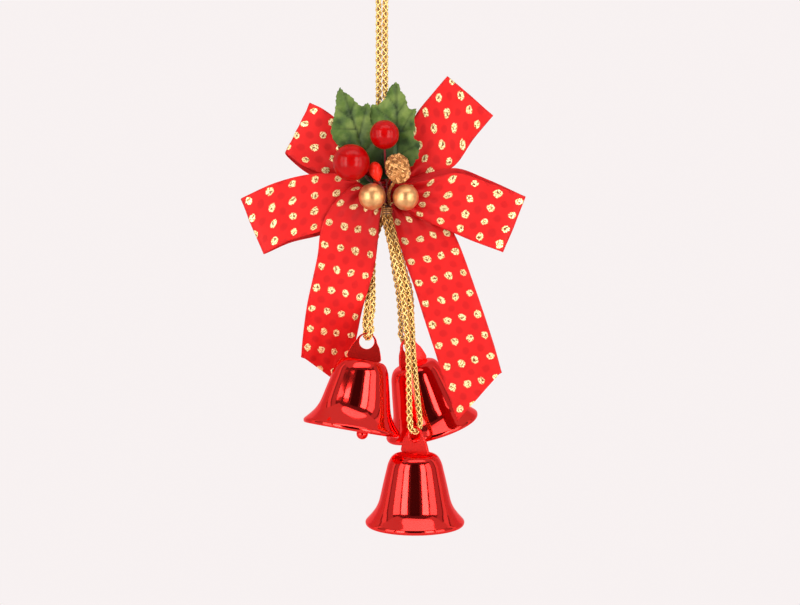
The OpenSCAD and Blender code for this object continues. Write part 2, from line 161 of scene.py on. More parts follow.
class Nodes:
    """Short ways to build a procedural material."""

    def __init__(self, name):
        self.material = bpy.data.materials.new(name)
        self.material.use_nodes = True
        self.tree = self.material.node_tree
        self.shader = self.tree.nodes["Principled BSDF"]

    def give(self, socket, value):
        """Links a socket to another, or sets it to a constant."""
        if isinstance(value, bpy.types.NodeSocket):
            self.tree.links.new(value, socket)
        else:
            socket.default_value = value

    def put(self, **sockets):
        """Sets the shader's sockets, named with _ for each space."""
        for key, value in sockets.items():
            self.give(self.shader.inputs[key.replace("_", " ")], value)

    def node(self, kind, output=0, inputs=None, **settings):
        """Adds a node and returns one of its outputs."""
        n = self.tree.nodes.new(kind)
        for key, value in settings.items():
            setattr(n, key, value)
        for key, value in (inputs or {}).items():
            self.give(n.inputs[key], value)
        return n.outputs[output]

    def math(self, operation, a, b=0.0):
        return self.node("ShaderNodeMath", operation=operation, inputs={0: a, 1: b})

    def add(self, a, b):
        return self.math("ADD", a, b)

    def sub(self, a, b):
        return self.math("SUBTRACT", a, b)

    def mul(self, a, b):
        return self.math("MULTIPLY", a, b)

    def place(self):
        return self.node("ShaderNodeTexCoord", output="Object")

    def attribute(self, name):
        return self.node("ShaderNodeAttribute", output="Fac", attribute_name=name)

    def noise(self, scale, detail=3.0, where=None):
        return self.node(
            "ShaderNodeTexNoise",
            inputs={"Vector": where or self.place(), "Scale": scale, "Detail": detail},
        )

    def fade(self, value, start, end, most=1.0):
        """0 where a value is at start, going to most at end."""
        return self.node(
            "ShaderNodeMapRange",
            inputs={"Value": value, "From Min": start, "From Max": end, "To Max": most},
        )

    def near(self, centre, inner, outer, most):
        """most within inner metres of a point, going to 0 at outer."""
        gap = self.node(
            "ShaderNodeVectorMath",
            output="Value",
            operation="DISTANCE",
            inputs={0: self.place(), 1: centre},
        )
        return self.fade(gap, outer, inner, most)

    def ramp(self, value, *stops):
        n = self.tree.nodes.new("ShaderNodeValToRGB")
        self.tree.links.new(value, n.inputs[0])
        while len(n.color_ramp.elements) < len(stops):
            n.color_ramp.elements.new(0.5)
        for element, (at, colour) in zip(n.color_ramp.elements, stops):
            element.position = at
            element.color = (*colour, 1)
        return n.outputs[0]

    def mix(self, factor, a, b):
        """Colour a, going to b as factor goes to 1."""
        n = self.tree.nodes.new("ShaderNodeMix")
        n.data_type = "RGBA"
        for index, value in ((0, factor), (6, a), (7, b)):
            self.give(n.inputs[index], (*value, 1) if isinstance(value, tuple) else value)
        return n.outputs[2]

    def bump(self, height, strength, distance):
        return self.node(
            "ShaderNodeBump",
            inputs={"Height": height, "Strength": strength, "Distance": distance},
        )


# Middle of the bow, where cloth and leaves lie in shade, in metres
KNOT = (0.0, -0.008, -0.096)
# The ribbon's rows of dots, in millimetres: spacing along and across, first row, uneven drift
DOTS_ALONG = 9.2
DOTS_ACROSS = 6.55
FIRST_DOTS = 2.7
DOT_DRIFT = 2.4


def gold_cord_material():
    m = Nodes("gold_cord")
    gold = m.ramp(m.noise(1800, 2), (0.3, (0.8, 0.46, 0.09)), (0.65, (1.0, 0.8, 0.34)))
    height = m.node("ShaderNodeSeparateXYZ", output=2, inputs={0: m.place()})
    # Painted shade: only the bell cords are darker, up to their binding, where they hang in the
    # bow's shade
    painted_shade_near_binding = m.mul(
        m.fade(height, -0.122, -0.106, 0.75), m.math("LESS_THAN", height, -0.1)
    )
    m.put(
        Base_Color=m.mix(painted_shade_near_binding, gold, (0.3, 0.11, 0.02)),
        Metallic=0.85,
        Roughness=0.24,
        Normal=m.bump(m.noise(5200, 2), 0.5, 0.0001),
    )
    return m.material


def cord_core_material():
    m = Nodes("gold_cord_core")
    m.put(
        Base_Color=m.ramp(m.noise(2400), (0.3, (0.16, 0.06, 0.01)), (0.8, (0.42, 0.2, 0.04))),
        Metallic=0.3,
        Roughness=0.6,
    )
    return m.material


def ribbon_weave(m):
    """The cloth's coordinates in mm, along, across and both, and its fine relief as a height."""
    uv = m.node("ShaderNodeTexCoord", output="UV")
    u, v, _ = m.node("ShaderNodeSeparateXYZ", inputs={0: uv}).node.outputs
    a = m.math("SINE", m.mul(u, 18.0))
    b = m.math("SINE", m.mul(v, 18.0))
    return u, v, uv, m.mul(a, b)


def ribbon_material():
    m = Nodes("red_ribbon")
    u, v, uv, weave = ribbon_weave(m)
    wobble = m.node(
        "ShaderNodeTexNoise", output="Color", inputs={"Vector": uv, "Scale": 0.12, "Detail": 1.0}
    )
    drift_u, drift_v, _ = m.node("ShaderNodeSeparateColor", inputs={0: wobble}).node.outputs
    du = m.mul(m.sub(drift_u, 0.5), DOT_DRIFT)
    dv = m.mul(m.sub(drift_v, 0.5), DOT_DRIFT)
    cell_u = m.math("DIVIDE", m.add(u, du), DOTS_ALONG)
    cell_v = m.math("DIVIDE", m.add(m.add(v, dv), -FIRST_DOTS), DOTS_ACROSS)

    def cell(cu, cv):
        """Offsets from the nearest cell centre in mm, and a value fixed for that cell."""
        near_u, near_v = m.math("ROUND", cu), m.math("ROUND", cv)
        fu = m.mul(m.sub(cu, near_u), DOTS_ALONG)
        fv = m.mul(m.sub(cv, near_v), DOTS_ACROSS)
        return fu, fv, m.add(m.mul(near_u, 2.7), m.mul(near_v, 4.9))

    def disc(fu, fv, radius, soft, rough):
        """1 inside a ragged disc, going to 0 outside it."""
        d = m.math("SQRT", m.add(m.mul(fu, fu), m.mul(fv, fv)))
        d = m.add(d, m.mul(m.sub(m.noise(0.9, 2.0, uv), 0.5), rough))
        return m.fade(d, radius + soft, radius - soft)

    fu, fv, seed = cell(cell_u, cell_v)
    gold = disc(fu, fv, 1.55, 0.12, 1.2)
    # A dark dent in the gold, off centre by half a millimetre in a direction of its own; its dark
    # brown is a painted reflection
    off_u = m.mul(m.math("COSINE", seed), 0.5)
    off_v = m.mul(m.math("SINE", seed), 0.5)
    hole = disc(m.add(fu, off_u), m.add(fv, off_v), 0.4, 0.18, 2.6)
    # Darker spots half way between the dots
    su, sv, _ = cell(m.add(cell_u, 0.5), m.add(cell_v, 0.5))
    shade = disc(su, sv, 1.6, 0.45, 0.8)
    red = m.ramp(m.noise(60, 4), (0.3, (0.56, 0.004, 0.004)), (0.75, (0.69, 0.008, 0.007)))
    red = m.mix(m.mul(shade, 0.6), red, (0.42, 0.0, 0.002))
    # Painted shade: the cloth is darker round the middle of the bow
    red = m.mix(m.near(KNOT, 0.012, 0.032, 0.6), red, (0.34, 0.0, 0.002))
    # The foil's gold, with painted dark reflections and pale glints in its random patches
    foil_and_painted_glints = m.ramp(
        m.noise(1.6, 3.0, uv),
        (0.4, (0.32, 0.12, 0.02)),
        (0.45, (0.86, 0.55, 0.16)),
        (0.54, (1.0, 0.9, 0.52)),
    )
    foil_and_painted_glints = m.mix(hole, foil_and_painted_glints, (0.22, 0.05, 0.008))
    # Painted shade: the dots are darker round the middle of the bow
    foil_and_painted_glints = m.mix(m.near(KNOT, 0.014, 0.036, 0.4), foil_and_painted_glints, (0.3, 0.07, 0.012))
    dome = m.sub(m.mul(gold, 0.8), m.mul(hole, 0.9))
    m.put(
        Base_Color=m.mix(gold, red, foil_and_painted_glints),
        Metallic=m.mul(gold, 0.35),
        Roughness=m.sub(0.5, m.mul(gold, 0.2)),
        Normal=m.bump(m.add(dome, m.mul(weave, 0.04)), 0.8, 0.0003),
        Specular_IOR_Level=m.add(0.22, m.mul(gold, 0.3)),
    )
    return m.material


def ribbon_back_material():
    m = Nodes("red_ribbon_back")
    _, _, _, weave = ribbon_weave(m)
    m.put(
        Base_Color=m.ramp(
            m.noise(70, 4), (0.3, (0.44, 0.002, 0.004)), (0.75, (0.54, 0.005, 0.006))
        ),
        Roughness=0.55,
        Normal=m.bump(weave, 0.3, 0.0001),
        Specular_IOR_Level=0.2,
    )
    return m.material


def bell_material(name="bell_red", metallic=1.0, roughness=0.07):
    m = Nodes(name)
    m.put(
        Base_Color=m.ramp(
            m.noise(35, 3), (0.3, (0.82, 0.02, 0.016)), (0.7, (0.92, 0.028, 0.022))
        ),
        Metallic=metallic,
        Specular_Tint=(1.0, 0.16, 0.14, 1),
        Roughness=m.add(roughness, m.mul(m.noise(180, 3), 0.05)),
        Coat_Weight=0.3,
        Coat_Roughness=0.03,
        Coat_IOR=1.5,
        Normal=m.bump(m.noise(90, 2), 0.03, 0.0004),
    )
    return m.material


def leaf_material():
    m = Nodes("leaf_green")
    fine = m.noise(1500, 3)
    green = m.ramp(
        m.noise(160, 5),
        (0.34, (0.018, 0.042, 0.008)),
        (0.49, (0.065, 0.12, 0.02)),
        (0.67, (0.15, 0.215, 0.045)),
    )
    # Painted shade in the grooves and over the leaf's middle by the bow, from the rib attribute
    green = m.mix(m.attribute("rib"), green, (0.012, 0.024, 0.005))
    green = m.mix(m.attribute("edge"), green, (0.16, 0.22, 0.05))
    # Painted shade round the middle of the bow
    green = m.mix(m.near(KNOT, 0.012, 0.034, 0.85), green, (0.01, 0.028, 0.006))
    m.put(
        Base_Color=green,
        Roughness=m.add(0.36, m.mul(fine, 0.22)),
        Normal=m.bump(fine, 0.25, 0.0002),
        Specular_IOR_Level=0.22,
    )
    return m.material


def berry_material(name, dark, light):
    m = Nodes(name)
    m.put(
        Base_Color=m.ramp(m.noise(120, 4), (0.3, dark), (0.72, light)),
        Roughness=m.add(0.3, m.mul(m.noise(400, 3), 0.08)),
        Specular_IOR_Level=0.05,
        Coat_Weight=0.24,
        Coat_Roughness=0.04,
        Normal=m.bump(m.noise(260, 3), 0.05, 0.0004),
        Subsurface_Weight=0.05,
        Subsurface_Radius=(0.002, 0.0005, 0.0004),
    )
    return m.material


def gold_ball_material():
    m = Nodes("gold_satin")
    m.put(
        Base_Color=m.ramp(m.noise(420, 4), (0.3, (0.58, 0.28, 0.105)), (0.72, (0.82, 0.45, 0.19))),
        Metallic=0.85,
        Roughness=m.add(0.3, m.mul(m.noise(900, 2), 0.12)),
        Normal=m.bump(m.noise(2600, 2), 0.12, 0.0001),
    )
    return m.material


def glitter_material():
    m = Nodes("gold_glitter")
    flakes = m.node(
        "ShaderNodeTexVoronoi", output="Color", inputs={"Vector": m.place(), "Scale": 900.0}
    )
    m.put(
        Base_Color=m.ramp(
            m.node("ShaderNodeRGBToBW", inputs={0: flakes}),
            (0.2, (0.26, 0.09, 0.02)),
            (0.55, (0.6, 0.27, 0.08)),
            (0.85, (0.95, 0.6, 0.25)),
        ),
        Metallic=0.55,
        Roughness=0.35,
        Normal=m.bump(m.noise(2200, 2), 0.5, 0.0002),
    )
    return m.material


def wire_material(name, dark, light, metallic, roughness):
    m = Nodes(name)
    m.put(
        Base_Color=m.ramp(m.noise(700, 3), (0.3, dark), (0.7, light)),
        Metallic=metallic,
        Roughness=roughness,
        Normal=m.bump(m.noise(1800, 2), 0.25, 0.0001),
    )
    return m.material


GOLD = gold_cord_material()
CORE = cord_core_material()
RIBBON = ribbon_material()
RIBBON_BACK = ribbon_back_material()
BELL = bell_material()
TAB = bell_material("tab_red", 0.82, 0.2)
LEAF = leaf_material()
BERRY = berry_material("berry_red", (0.3, 0.0002, 0.0006), (0.44, 0.0008, 0.001))
BUD = berry_material("bud_red", (0.7, 0.012, 0.006), (0.85, 0.03, 0.01))
GOLD_BALL = gold_ball_material()
GLITTER = glitter_material()
TIE_WIRE = wire_material("tie_wire", (0.12, 0.04, 0.012), (0.6, 0.3, 0.1), 0.5, 0.36)
STEM = wire_material("stem_dark", (0.02, 0.008, 0.006), (0.09, 0.025, 0.02), 0.0, 0.45)
RED_STEM = wire_material("stem_red", (0.16, 0.01, 0.015), (0.3, 0.02, 0.03), 0.0, 0.4)

# ---- camera

camera = add_object("camera", bpy.data.cameras.new("camera"))
camera.data.lens = 70
camera.data.sensor_width = 36
camera.data.clip_start = 0.01
camera.data.clip_end = 20
camera.location = (0.00756, -0.6533, -0.138)
camera.rotation_euler = (math.pi / 2, 0, 0)
bpy.context.scene.camera = camera

# ---- bells, where each one is

# Centre of the tab's hole in mm, then in degrees the tilt about Y, the lean about X and the
# tab's turn
BELLS = {
    "left": (Vector((-6.4, -7, -155)), 9.7, -4, 0),
    "right": (Vector((11.4, 10, -157.6)), -16.5, 9.5, 33),
    "front": (Vector((13.7, -16, -193.1)), 0, 5, -40),
}
# From the tab's hole to the bell's top, from there to the clapper's pin, and from the pin to
# its ball
HOLE_TO_TOP = 6.9
PIN_BELOW_TOP = 3.1
CLAPPER_LENGTH = 27.5


def turned(v, axis, degrees):
    """A vector turned about the X, Y or Z axis."""
    c, s = math.cos(math.radians(degrees)), math.sin(math.radians(degrees))
    x, y, z = v
    if axis == "X":
        return Vector((x, y * c - z * s, y * s + z * c))
    if axis == "Y":
        return Vector((x * c + z * s, y, -x * s + z * c))
    return Vector((x * c - y * s, x * s + y * c, z))


def bell_place(bell):
    """Takes a point of a bell, measured from its tab's hole, to where it hangs."""
    at, tilt, lean, turn = bell
    return lambda v: at + turned(turned(turned(v, "Z", turn), "X", lean), "Y", tilt)


def plumb_turn(bell):
    """Turn about the clapper's pin that lets it hang straight down."""
    tilt, lean, turn = (math.radians(a) for a in bell[1:])
    return math.degrees(
        math.atan2(
            math.cos(tilt) * math.sin(lean) * math.sin(turn) - math.sin(tilt) * math.cos(turn),
            math.cos(tilt) * math.cos(lean),
        )
    )


def clapper_place(bell):
    """Takes a point of a clapper, measured from its pin, to where it hangs."""
    outer = bell_place(bell)
    angle = plumb_turn(bell)
    drop = Vector((0, 0, -HOLE_TO_TOP - PIN_BELOW_TOP))
    return lambda v: outer(turned(v, "Y", angle) + drop)


# ---- cords

CORE_R = 0.5
THREAD_R = 0.28
# Radius of the threads' circle, how far they weave in and out of it, and one full turn's length
BRAID_R = 0.97
WEAVE = 0.16
PITCH = 9.0
BRAID_SIDE = (0.3, 0.9, 0.2)
# The bight under the tab's hole, across and up from the hole's centre
BIGHT = [
    (-3.2, 6.2), (-3, 4.6), (-2.3, 3.3), (-1.25, 2.55), (0, 2.35), (1.25, 2.55), (2.3, 3.3),
    (3, 4.6), (3.2, 6.2),
]
HANGING = [
    (0.6, 6.1, -98.5), (0.4, 6.1, -88), (-0.4, 5.6, -80), (-1.2, 4, -70), (-1.4, 1.5, -50),
    (-1.4, 0, -14), (-2, 0, -9), (-3.1, 0, -5), (-3.4, 0, -2.1), (-2.95, 0, -0.45),
    (-1.7, 0, 0.76), (0, 0, 1.2), (1.7, 0, 0.76), (2.95, 0, -0.45), (3.4, 0, -2.1), (3.1, 0, -5),
    (2, 0, -9), (1.4, 0, -14), (1.4, 1.5, -50), (1.75, 4, -70), (2.5, 5.6, -80), (3.4, 6.1, -88),
    (3.6, 6.1, -98.5),
]
# Each bell's two strands above its tab, and how far the bight in the tab slopes sideways
STRANDS = {
    "left": (
        [(0.8, 5, -100.4), (0.1, 4.5, -102.6), (-2.6, 4.4, -110), (-3.7, 3.8, -118),
         (-4, 2.6, -126), (-3.9, -0.2, -134), (-3.9, -2.4, -137.9), (-4, -4.6, -141.5),
         (-4.8, -8.4, -146.8)],
        [(-7, -3.1, -146.8), (-6.4, -1.5, -141.5), (-6.05, 0, -138.1), (-5.9, 2, -134),
         (-5.5, 4.8, -126), (-4.8, 6.2, -118), (-3.4, 7, -110), (0.1, 7.5, -102.6),
         (0.8, 7.2, -100.4)],
        -0.36,
    ),
    "right": (
        [(3.8, 5, -100.4), (4.6, 4.4, -102.6), (7, 4.8, -113), (9.4, 5.4, -124),
         (11.8, 6.2, -133), (12.4, 7, -142), (11.9, 7.4, -148)],
        [(8, 12, -148), (7.7, 10.8, -142), (6.8, 9, -133), (5.2, 7.8, -124), (3.9, 7.2, -113),
         (3.3, 7.5, -102.6), (3, 7.2, -100.4)],
        0,
    ),
    "front": (
        [(1.4, -6.2, -100.6), (1.3, -6.5, -103.4), (3.2, -8.2, -112), (6.2, -9.9, -124),
         (8.4, -11.2, -133), (9.9, -12.8, -145), (10.9, -14.4, -158), (11.2, -15.9, -170),
         (11.4, -17.9, -183)],
        [(15.3, -13.8, -183), (14, -12.7, -170), (12.9, -11.6, -158), (12.3, -10.4, -145),
         (10.6, -9.2, -133), (8.5, -8, -124), (5.6, -6.8, -112), (3.5, -6.1, -103.4),
         (2.8, -6.2, -100.6)],
        0,
    ),
}
# The stretch where each cord bends as it swings: below its binding, or below the tail on the left
BENDS = {
    "left": ((-4.9, 0.2, -135.8), (-4.9, -1.8, -139.6)),
    "right": ((3.5, 6, -100.6), (4.4, 6, -106)),
    "front": ((2.1, -6.2, -100.8), (2.6, -6.8, -106)),
}


def braid(name, route, body, nodes, bend=None):
    """A round open braid of six metallic threads, three each way round, over a darker core."""
    path = spline(route, 0.34)
    axes = frames(path, BRAID_SIDE)
    verts, faces = [], []
    add_tube(verts, faces, path, CORE_R, 8, side=BRAID_SIDE)
    core_faces = len(faces)
    for way in (1, -1):
        for k in range(3):
            thread = []
            s = 0.0
            for i, (p, (a, b)) in enumerate(zip(path, axes)):
                if i:
                    s += (p - path[i - 1]).length
                w = way * 2 * math.pi * s / PITCH + 2 * math.pi * k / 3
                r = BRAID_R + way * WEAVE * math.cos(6 * math.pi * s / PITCH)
                thread.append(p + r * (math.cos(w) * a + math.sin(w) * b))
            add_tube(verts, faces, thread, THREAD_R, 6, side=BRAID_SIDE)
    obj = piece(name, verts, faces, [GOLD, CORE], None if bend else body, nodes)
    if bend:
        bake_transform(obj)
    for f in obj.data.polygons[:core_faces]:
        f.material_index = 1
    length = path_length(path) * MM
    line = [p * MM for p in path[::4]] + [path[-1] * MM]


braid("hanging_cord_braid", HANGING, ROOT, ["hanging_cord"])
for side, (down, up, slope) in STRANDS.items():
    place = bell_place(BELLS[side])
    route = down + [place(Vector((slope * n, n, h))) for n, h in BIGHT] + up
    braid(
        f"{side}_bell_cord_braid",
        route,
        f"{side}_cord",
        ["left_bell_cord_top", "left_bell_cord"] if side == "left" else [f"{side}_bell_cord"],
        BENDS[side],
    )

# ---- ribbon


RIBBON_W = 25.0
PLEATS = 3.5


def ribbon(name, stations, node, squares, phase, start, slant):
    """A cloth strip between two edge curves given at stations, with pleats where it is gathered.

    The pattern lies true at each station in squares, and is start mm along at the first of them.
    """
    step = 0.55
    columns = 47
    edge_a = [Vector(a) for a, _ in stations]
    edge_b = [Vector(b) for _, b in stations]
    counts = [
        max(2, round(((a1 - a0).length + (b1 - b0).length) / 2 / step))
        for a0, a1, b0, b1 in zip(edge_a, edge_a[1:], edge_b, edge_b[1:])
    ]

    def curve(points):
        pts = extended(points)
        out = []
        for i, count in enumerate(counts):
            out += [catmull_rom(*pts[i : i + 4], k / count) for k in range(count)]
        return out + [catmull_rom(*pts[-4:], 1.0)]

    left, right = curve(edge_a), curve(edge_b)
    rows = len(left)
    base = [[a.lerp(b, j / (columns - 1)) for j in range(columns)] for a, b in zip(left, right)]
    middle = columns // 2
    along = [[0.0] * columns]
    for row, last in zip(base[1:], base):
        along.append([s + (b - a).length for s, a, b in zip(along[-1], last, row)])
    verts = []
    for i in range(rows):
        across = right[i] - left[i]
        gather = min(1.0, across.length / RIBBON_W)
        for j in range(columns):
            w = j / (columns - 1)
            up = base[min(i + 1, rows - 1)][j] - base[max(i - 1, 0)][j]
            if up.length < 0.01:
                up = base[min(i + 1, rows - 1)][middle] - base[max(i - 1, 0)][middle]
            normal = across.cross(up).normalized()
            pleat = min(3.0 * (1 - gather) ** 1.3, 1.25)
            wave = math.sin(2 * math.pi * (PLEATS * w + phase + 0.012 * along[i][middle]))
            soft = noise.noise(Vector((along[i][middle] * 0.05, w * 2.2, phase * 7 + 3)))
            verts.append(base[i][j] + normal * (pleat * wave + 0.5 * soft))
    faces = [tuple(reversed(f)) for f in grid_faces(rows, columns)]
    obj = piece(name, verts, faces, [RIBBON, RIBBON_BACK], ROOT, [node])
    layer = obj.data.uv_layers.new(name="cloth")
    true_rows = [sum(counts[:k]) for k in squares]
    first = along[true_rows[0]][middle]

    def skew(i, j):
        """How far column j has run ahead of the middle since the nearest true stations."""
        k = 0
        while k < len(true_rows) - 2 and i > true_rows[k + 1]:
            k += 1
        a, b = true_rows[k], true_rows[min(k + 1, len(true_rows) - 1)]
        t = 0 if a == b else max(0.0, min(1.0, (i - a) / (b - a)))
        at_a, at_b = along[a][j] - along[a][middle], along[b][j] - along[b][middle]
        return along[i][j] - along[i][middle] - at_a * (1 - t) - at_b * t

    for loop in obj.data.loops:
        i, j = divmod(loop.vertex_index, columns)
        w = j / (columns - 1)
        layer.data[loop.index].uv = (
            start + along[i][middle] - first + skew(i, j) + slant * (w - 0.5) * RIBBON_W,
            w * RIBBON_W,
        )
    solid = thicken(obj, 0.35)
    solid.material_offset = 1
    solid.material_offset_rim = 0
    return obj, along[-1][middle]


LOWER_BOW = [
    # left loop, front layer from the pinch outwards
    ((2, -3, -88), (2, -2.8, -97)),
    ((-6, -3.8, -86), (-5, -3.6, -99)),
    ((-16, -5, -84.4), (-14, -4.8, -104.6)),
    ((-30, -5.8, -84.6), (-26, -5.6, -108.6)),
    ((-44, -5.4, -88), (-39, -5.2, -112.4)),
    ((-56.4, -4.2, -93.4), (-47.4, -4, -116.8)),
    # round the fold
    ((-58.8, -2.6, -94.6), (-49.4, -2.4, -117.8)),
    ((-56.6, -1, -93.8), (-47.6, -0.8, -117)),
    # back layer
    ((-44, -0.6, -88.6), (-38, -0.6, -112.8)),
    ((-30, -0.6, -86), (-25, -0.6, -109.6)),
    ((-16, -0.8, -86.4), (-14, -0.8, -105)),
    ((-6, -1.2, -87.4), (-5, -1.2, -99.4)),
    ((2, -1.6, -88.4), (2, -1.6, -97.2)),
    # right loop, back layer
    ((9, -1.2, -87), (9, -1.2, -98.6)),
    ((18, -0.9, -84), (18, -0.9, -103.6)),
    ((31, -0.7, -81.6), (27, -0.7, -106)),
    ((44, -0.7, -86.2), (38, -0.7, -110.6)),
    ((58, -1, -92.6), (49, -1, -116.2)),
    # round the fold
    ((60, -1.9, -93.6), (50.4, -1.9, -116.8)),
    ((58, -3, -93), (49, -3, -116.4)),
    # front layer
    ((44, -4, -87.8), (38, -4, -112.4)),
    ((31, -4.8, -84), (29, -4.8, -108.6)),
    ((18, -4.6, -87), (17, -4.4, -103.4)),
    ((9, -3.6, -88.6), (8, -3.6, -98.8)),
    ((2, -3, -88.6), (2, -2.8, -96.8)),
]
UPPER_BOW = [
    # left loop, front layer
    ((2, 1.6, -88), (2, 1.6, -96)),
    ((-4, 1, -82), (-8, 0.9, -93)),
    ((-10, 0.4, -73), (-18, 0.4, -88)),
    ((-17, 0, -63), (-26, 0.2, -84)),
    ((-24, 0, -57.2), (-34, 0.2, -80)),
    ((-29, 0.8, -54.6), (-39.4, 0.8, -76)),
    # round the fold
    ((-30.2, 2.4, -54), (-40.8, 2.6, -75)),
    ((-28.8, 4, -54.8), (-39.4, 4.4, -77)),
    # back layer
    ((-24, 5, -58.6), (-33, 5.6, -82.4)),
    ((-17, 5, -65), (-25, 5.6, -86.6)),
    ((-10, 4.4, -74), (-17, 4.6, -90)),
    ((-4, 3.6, -83), (-8, 3.8, -94)),
    ((2, 3, -88.6), (2, 3, -96.4)),
    # right loop, back layer
    ((6, 3.4, -81), (12, 3.4, -93)),
    ((9, 4, -70), (20, 4, -88)),
    ((14, 4.2, -59), (30, 4.2, -80)),
    ((21, 4, -50), (38.6, 4, -69)),
    ((26.6, 3.4, -43.8), (45.8, 3.4, -60.4)),
    # round the fold
    ((27.4, 2.4, -42.9), (46.6, 2.4, -59.6)),
    ((26.6, 1.4, -43.7), (45.8, 1.4, -60.3)),
    # front layer
    ((21, 0.9, -50.4), (38.4, 0.9, -69.4)),
    ((15, 0.7, -58.4), (30.4, 0.7, -80.6)),
    ((9, 0.9, -69.6), (19, 0.9, -85.8)),
    ((5, 1.2, -81.4), (11, 1.2, -90.6)),
    ((2, 1.6, -88.8), (2, 1.6, -95.8)),
]
LEFT_TAIL = [
    ((2, -4, -86.5), (2, -4, -92)),
    ((-5, -6, -87), (0.6, -4.9, -96.5)),
    ((-13.4, -7, -90.5), (-0.6, -4.7, -100.5)),
    ((-21.6, -7.2, -99), (-1, -4.5, -105.5)),
    ((-25.4, -6.2, -108), (-1.6, -3.8, -111.5)),
    ((-26.8, -4.4, -118), (-2.8, -3.2, -121.5)),
    ((-28.8, -3.2, -127.4), (-5.2, -2.8, -131)),
    ((-31, -2.2, -137), (-8, 0, -140)),
    ((-32.4, 0.4, -145), (-10, 4.6, -149)),
    ((-33.6, 4.2, -153.4), (-11.8, 9.6, -158)),
    ((-34.4, 7.6, -160.4), (-12.8, 13, -167)),
    ((-34.4, 7.8, -160.6), (-12.4, 15.6, -177.6)),
]
RIGHT_TAIL = [
    ((0, 0, -90), (3, 0, -88)),
    ((2, 0, -97), (8, 0, -91)),
    ((3.2, 0, -101), (18, 0, -96)),
    ((5.4, -0.2, -107), (26.4, 0, -102.6)),
    ((7.6, -1.4, -114), (31, -0.6, -110.6)),
    ((10.2, -3.4, -122.4), (34.6, -2.8, -119.6)),
    ((13.8, -5.4, -132.6), (38.2, -4.8, -130)),
    ((17.8, -6.2, -145.4), (42.6, -6.2, -143)),
    ((22.4, -6.2, -159.4), (46.8, -6.4, -156)),
    ((26.6, -5.8, -173), (49.6, -6, -166)),
    ((31.4, -5.4, -187.6), (49.8, -5.8, -166.6)),
]

for name, stations, node, squares, phase, start, slant, held in (
    ("lower_bow_cloth", LOWER_BOW, "lower_bow_ribbon", (3, 21), 0.1, 0, -0.2, "gathered"),
    ("upper_bow_cloth", UPPER_BOW, "upper_bow_ribbon", (4, 21), 0.1, 3, -0.2, "gathered"),
    ("left_tail_cloth", LEFT_TAIL, "tail_ribbon", (5,), 0, 4, -0.07, "hung"),
    ("right_tail_cloth", RIGHT_TAIL, "tail_ribbon", (6,), 0, 4, 0.12, "hung"),
):
    cloth, length = ribbon(name, stations, node, squares, phase, start, slant)

# ---- bells

# The bell's outside from its top to its rim, and its inside back up, as radius and height
OUTER = [
    (0, 0), (4, 0), (6.6, -0.02), (7.8, -0.12), (8.7, -0.45), (9.5, -1.1), (10.2, -2.1),
    (11.15, -4.2), (11.85, -7), (12.7, -10.5), (13.5, -14), (14.2, -17.2), (14.95, -20),
    (16.15, -22.6), (17.8, -24.9), (19.2, -26.5), (20.1, -27.5), (20.4, -28.2), (20.3, -28.9),
    (19.8, -29.5), (19.3, -29.5),
]
INNER = [
    (19, -29.2), (18.9, -28.6), (18.9, -27.8), (18.3, -26.8), (17.1, -25.4), (15.45, -23.1),
    (14.25, -20.4), (13.5, -17.4), (12.8, -14.2), (12, -10.6), (11.15, -7), (10.5, -4.5),
    (9.7, -2.6), (9, -1.7), (8.3, -1.1), (7.2, -0.7), (0, -0.7),
]


def lathe(profile, segments):
    """A profile of radius and height turned about Z, as vertices and faces."""
    verts = []
    for r, z in profile:
        for k in range(segments):
            w = 2 * math.pi * k / segments
            verts.append((r * math.cos(w), r * math.sin(w), z))
    return verts, grid_faces(len(profile), segments, closed=True)


def smooth_profile(points, step):
    return [(p.x, p.z) for p in spline([(r, 0, z) for r, z in points], step)]


def bell_shell(side):
    profile = smooth_profile(OUTER, 0.5) + smooth_profile(INNER, 0.6)
    verts, faces = lathe([(max(r, 0.02), z) for r, z in profile], 160)
    verts = [(x, y, z - HOLE_TO_TOP) for x, y, z in verts]
    piece(
        f"{side}_bell_body", verts, faces, BELL, f"{side}_bell",
        [f"{side}_bell_shell"], place=bell_place(BELLS[side]),
    )


def flat_outline(outer, hole, thickness, bevel):
    """A plate with a hole from two outlines, bevelled all round, as vertices and faces."""
    data = bpy.data.curves.new("outline", "CURVE")
    data.dimensions = "2D"
    data.fill_mode = "BOTH"
    for points in (outer, hole):
        s = data.splines.new("POLY")
        s.points.add(len(points) - 1)
        for p, (x, y) in zip(s.points, points):
            p.co = (x, y, 0, 1)
        s.use_cyclic_u = True
    data.extrude = thickness / 2 - bevel
    data.bevel_depth = bevel
    data.bevel_resolution = 2
    obj = add_object("outline", data)
    mesh = bpy.data.meshes.new_from_object(
        obj.evaluated_get(bpy.context.evaluated_depsgraph_get())
    )
    verts = [(v.co.x, v.co.z, v.co.y) for v in mesh.vertices]
    faces = [tuple(reversed(f.vertices)) for f in mesh.polygons]
    bpy.data.objects.remove(obj)
    bpy.data.curves.remove(data)
    bpy.data.meshes.remove(mesh)
    return verts, faces


TAB_T = 1.0
TAB_BEVEL = 0.12
TAB_HOLE_R = 3.1
TAB_HOLE_Y = 0.8
TAB_TOP_R = 4.4
# The tab's right side from its round top down to its foot
TAB_SIDE = [
    (5.6, -1.2), (6.4, -3.4), (6.9, -5), (7.1, -5.9), (6.9, -6.5), (6.3, -6.75), (4, -6.78),
]


